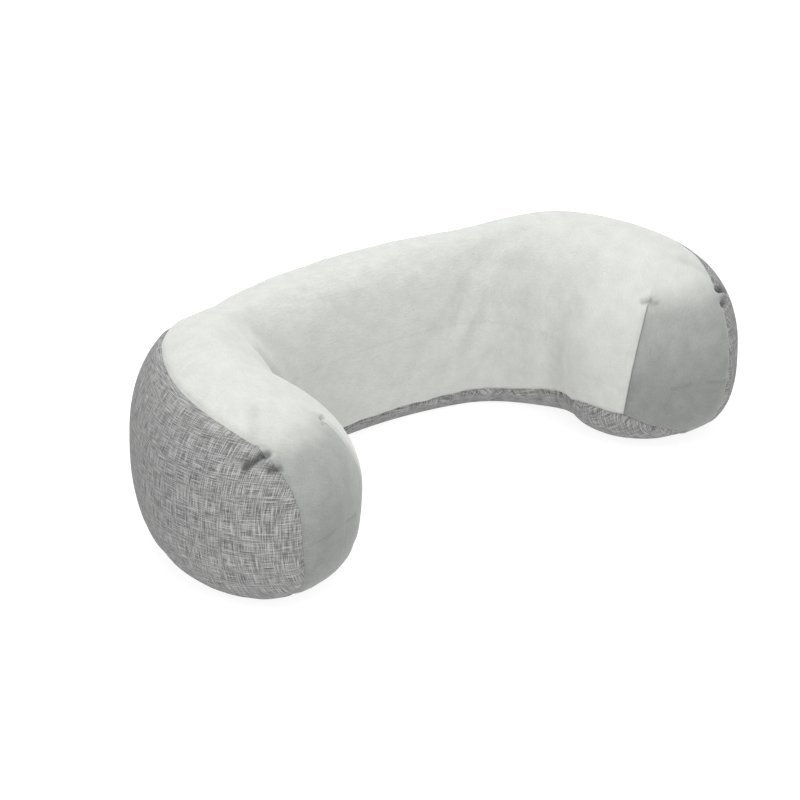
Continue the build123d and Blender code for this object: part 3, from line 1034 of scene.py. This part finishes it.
# Each panel: its piece, CAD node, flat cut, flat area, slot and thread directions.
COVER_CUTS = (
    ("velour_top", "cover_top_panel", (0.66, 0.46), 0.167, "velour", (CLOTH_U, CLOTH_V)),
    ("melange_side", "cover_side_panel", (1.10, 0.17), 0.146, "melange", (CLOTH_U, CLOTH_V)),
    ("melange_base", "cover_base_panel", (0.62, 0.36), 0.106, "melange", (BASE_U, BASE_V)),
)
# Each part of the liner: its piece, CAD node, side of the seam, flat cut and flat area.
LINER_CUTS = (
    ("liner_upper", "liner_top", 1, (0.95, 0.55), 0.255),
    ("liner_lower", "liner_base", -1, (0.62, 0.36), 0.105),
)

COVER = make_cover()
make_liner()
make_filling()

# ---------------------------------------------------------------- zip and label

FILAMENT = 0.00033      # radius of the coil's plastic wire
COIL_PITCH = 0.00145
COIL_TURNS = 12         # points in each loop of the wire
COIL_SLANT = 0.22       # how far each loop leans along the chain, as a share of the pitch
COIL_REACH = (-0.00025, 0.0029)     # from just past the chain's middle to the tape's edge
COIL_DEPTH = (0.0006, 0.0019)       # nearest and furthest below the cover
THREAD = 0.00028        # radius of the sewing thread
STITCH_LENGTH, STITCH_STEP = 0.0023, 0.0031
STITCH_OFF = 0.0022     # rows this far outside the zip's opening
STITCH_SEARCH = 0.03    # the cover is looked for within this distance of the smooth wall
# Points of a stitch: place along it, from -1 to 1, and depth in radii of the thread.
STITCH_POINTS = ((-1, 1.0), (-0.6, 0.0), (0, -0.4), (0.6, 0.0), (1, 1.0))
CHAIN_RADIUS = BACK_RADIUS + OUTER_WIDTH[0]
WALL_RISE = 0.001       # the wall's lean is measured over this height, up and down


def wall_out(z):
    """Outward distance of the back's outer wall at a height below its widest level."""
    level = HEIGHT[0] * WAIST[0]
    crown = OUTER_WIDTH[0] * CROWN_SHIFT
    drop = (level - z) / (level + SETTLE)
    share = (1 - drop ** OUTER_FOOT_POWER) ** (1 / OUTER_FOOT_POWER)
    return crown + (OUTER_WIDTH[0] - crown) * share


def wall_place(angle, up, depth):
    """Point of the back's wall: angle round the back, up from the zip, below the cover."""
    change = wall_out(ZIP_HEIGHT + WALL_RISE) - wall_out(ZIP_HEIGHT - WALL_RISE)
    lean = math.atan(change / WALL_RISE / 2)
    z = ZIP_HEIGHT + up * math.cos(lean)
    radius = BACK_RADIUS + wall_out(z) - depth * math.cos(lean)
    y = radius * math.cos(angle) - BACK_RADIUS + PLAN_SHIFT
    return np.array([radius * math.sin(angle), y, z + depth * math.sin(lean)])


TUBE_SIDE = (0.31, 0.17, 0.93)  # a direction that no tube follows


def tube(path, radius, closed, sides=6):
    """Points and faces of a round tube along a short path."""
    path = np.array(path)
    ahead = np.roll(path, -1, axis=0) - np.roll(path, 1, axis=0)
    if not closed:
        ahead[0], ahead[-1] = path[1] - path[0], path[-1] - path[-2]
    ahead /= np.linalg.norm(ahead, axis=1, keepdims=True)
    flat = np.cross(ahead, TUBE_SIDE)
    flat /= np.linalg.norm(flat, axis=1, keepdims=True)
    other = np.cross(ahead, flat)
    turn = np.arange(sides) * 2 * math.pi / sides
    round_it = flat[:, None] * np.cos(turn)[:, None] + other[:, None] * np.sin(turn)[:, None]
    points = (path[:, None] + round_it * radius).reshape(-1, 3)
    faces = []
    rings = len(path)
    for i in range(rings if closed else rings - 1):
        for j in range(sides):
            k, after = (j + 1) % sides, (i + 1) % rings
            faces.append((i * sides + j, i * sides + k, after * sides + k, after * sides + j))
    if not closed:
        faces.append(tuple(range(sides - 1, -1, -1)))
        faces.append(tuple(range((rings - 1) * sides, rings * sides)))
    return points, faces


def joined_tubes(name, paths, radius, closed, material):
    """One piece made of many short tubes."""
    points, faces, count = [], [], 0
    for path in paths:
        more, more_faces = tube(path, radius, closed)
        points.append(more)
        faces += [tuple(i + count for i in face) for face in more_faces]
        count += len(more)
    piece = new_mesh_object(name, np.concatenate(points), faces)
    piece.data.polygons.foreach_set("use_smooth", [True] * len(faces))
    piece.data.materials.append(material)
    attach(piece, "pillow")
    return piece


def coil_loops(side):
    """Loops of one half of the coil, above (1) or below (-1) the chain's middle."""
    step = COIL_PITCH / CHAIN_RADIUS
    count = int(2 * CHAIN_END / step)
    near, far = COIL_REACH
    top, bottom = COIL_DEPTH
    loops = []
    for i in range(count):
        middle = -CHAIN_END + (i + 0.25 + 0.25 * side) * step
        loop = []
        for turn in np.arange(COIL_TURNS) * math.pi / (COIL_TURNS / 2):
            up = side * ((near + far) / 2 + (far - near) / 2 * math.cos(turn))
            depth = (top + bottom) / 2 + (bottom - top) / 2 * math.sin(turn)
            loop.append(wall_place(middle + step * COIL_SLANT * math.sin(turn), up, depth))
        loops.append(loop)
    return loops


def make_coils():
    """The wound wire of the chain's two halves."""
    for name, side in (("zip_coil_upper", 1), ("zip_coil_lower", -1)):
        piece = joined_tubes(name + "_filament", coil_loops(side), FILAMENT, True, ZIP_COIL)
        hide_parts(name)


def make_stitches(panels):
    """Two rows of stitches that hold the tapes, laid on the panels beside the opening."""
    bpy.context.view_layer.update()
    step = STITCH_STEP / CHAIN_RADIUS
    reach = STITCH_LENGTH / CHAIN_RADIUS / 2
    paths = []
    for side, panel in ((1, panels["melange_side"]), (-1, panels["melange_base"])):
        up = side * (ZIP_GAP / 2 + STITCH_OFF)
        for angle in np.arange(-GAP_END + step, GAP_END - step / 2, step):
            path = []
            for share, sunk in STITCH_POINTS:
                start = Vector(wall_place(angle + reach * share, up, -STITCH_SEARCH))
                inward = Vector(wall_place(angle + reach * share, up, STITCH_SEARCH)) - start
                found, place, normal, _ = panel.ray_cast(start, inward.normalized())
                if found:
                    path.append(np.array(place) - np.array(normal) * THREAD * sunk)
            if len(path) == len(STITCH_POINTS):
                paths.append(path)
    piece = joined_tubes("zip_stitches", paths, THREAD, False, ZIP_TAPE)


# CAD nodes that are shown as they are, and their materials.
CARRIED = {
    "zip_tape_upper": ZIP_TAPE,
    "zip_tape_lower": ZIP_TAPE,
    "zip_bottom_stop": ZIP_METAL,
    "zip_top_stops": ZIP_METAL,
    "zip_slider": ZIP_METAL,
    "zip_pull_tab": ZIP_METAL,
    "care_label": LABEL_CLOTH,
}


def paint_carried():
    """Gives each CAD node that stays its own material."""
    for name, material in CARRIED.items():
        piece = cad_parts[name]
        for entry in piece.material_slots:
            entry.material = material
        if not piece.material_slots:
            piece.data.materials.append(material)


paint_carried()
make_coils()
make_stitches(COVER)

# ---------------------------------------------------------------- room, light and camera

CAMERA_AZIMUTH, CAMERA_ELEVATION = math.radians(38.9), math.radians(26.7)
CAMERA_DISTANCE = 1.975
CAMERA_LENS, CAMERA_SENSOR = 98.9, 36.0     # in millimetres
AIM = (0.0, -0.100, 0.080)  # before the model is moved to the middle of its plan
AIM_RIGHT, AIM_UP = -0.0125, -0.0119
WORLD_STRENGTH = 0.45
# Each light: name, azimuth, elevation, distance, size and power.
LIGHTS = (
    ("overhead", 150, 68, 2.2, 1.8, 50.0),
    ("front", -30, 36, 2.4, 1.6, 44.0),
    ("left", -95, 35, 2.4, 1.2, 8.0),
)
FLOOR_HALF = 6.0
FLOOR_DROP = 0.0005     # the floor lies this far under the pillow


def look_along(piece, back):
    """Turns a camera or light so that it looks against this direction, level."""
    piece.rotation_euler = back.to_track_quat("Z", "Y").to_euler()


def make_camera():
    """A long lens in front of the pillow's left arm, looking down a little."""
    back = Vector((
        -math.sin(CAMERA_AZIMUTH) * math.cos(CAMERA_ELEVATION),
        -math.cos(CAMERA_AZIMUTH) * math.cos(CAMERA_ELEVATION),
        math.sin(CAMERA_ELEVATION),
    ))
    right = Vector((math.cos(CAMERA_AZIMUTH), -math.sin(CAMERA_AZIMUTH), 0.0))
    up = back.cross(right)
    aim = Vector((AIM[0], AIM[1] + PLAN_SHIFT, AIM[2]))
    lens = bpy.data.cameras.new("camera")
    lens.lens = CAMERA_LENS
    lens.sensor_width = CAMERA_SENSOR
    camera = bpy.data.objects.new("camera", lens)
    camera.location = aim + right * AIM_RIGHT + up * AIM_UP + back * CAMERA_DISTANCE
    look_along(camera, back)
    bpy.context.scene.collection.objects.link(camera)
    bpy.context.scene.camera = camera


def make_light(name, azimuth, elevation, distance, size, power):
    turn, rise = math.radians(azimuth), math.radians(elevation)
    back = Vector((
        math.sin(turn) * math.cos(rise),
        -math.cos(turn) * math.cos(rise),
        math.sin(rise),
    ))
    lamp = bpy.data.lights.new(name, "AREA")
    lamp.size = size
    lamp.energy = power
    light = bpy.data.objects.new(name, lamp)
    light.location = back * distance
    look_along(light, back)
    bpy.context.scene.collection.objects.link(light)


def make_world():
    """An even white sky."""
    world = bpy.data.worlds.new("studio")
    world.use_nodes = True
    shade = world.node_tree.nodes["Background"]
    shade.inputs["Color"].default_value = (1.0, 1.0, 1.0, 1.0)
    shade.inputs["Strength"].default_value = WORLD_STRENGTH
    bpy.context.scene.world = world


def make_floor():
    """Wide white paper, part of its brightness its own so that shadows stay faint."""
    corners = [(x * FLOOR_HALF, y * FLOOR_HALF, 0) for x, y in ((-1, -1), (1, -1), (1, 1), (-1, 1))]
    floor = new_mesh_object("floor", corners, [(0, 1, 2, 3)])
    floor.location.z = CAD_BOX[0][2] - FLOOR_DROP
    m = Nodes("paper")
    m.value(Base_Color=grey(0.24), Roughness=0.9)
    m.value(Emission_Color=grey(1.0), Emission_Strength=0.83)
    floor.data.materials.append(m.material)


make_floor()
make_world()
for light in LIGHTS:
    make_light(*light)
make_camera()
bpy.context.scene.view_settings.view_transform = "Standard"
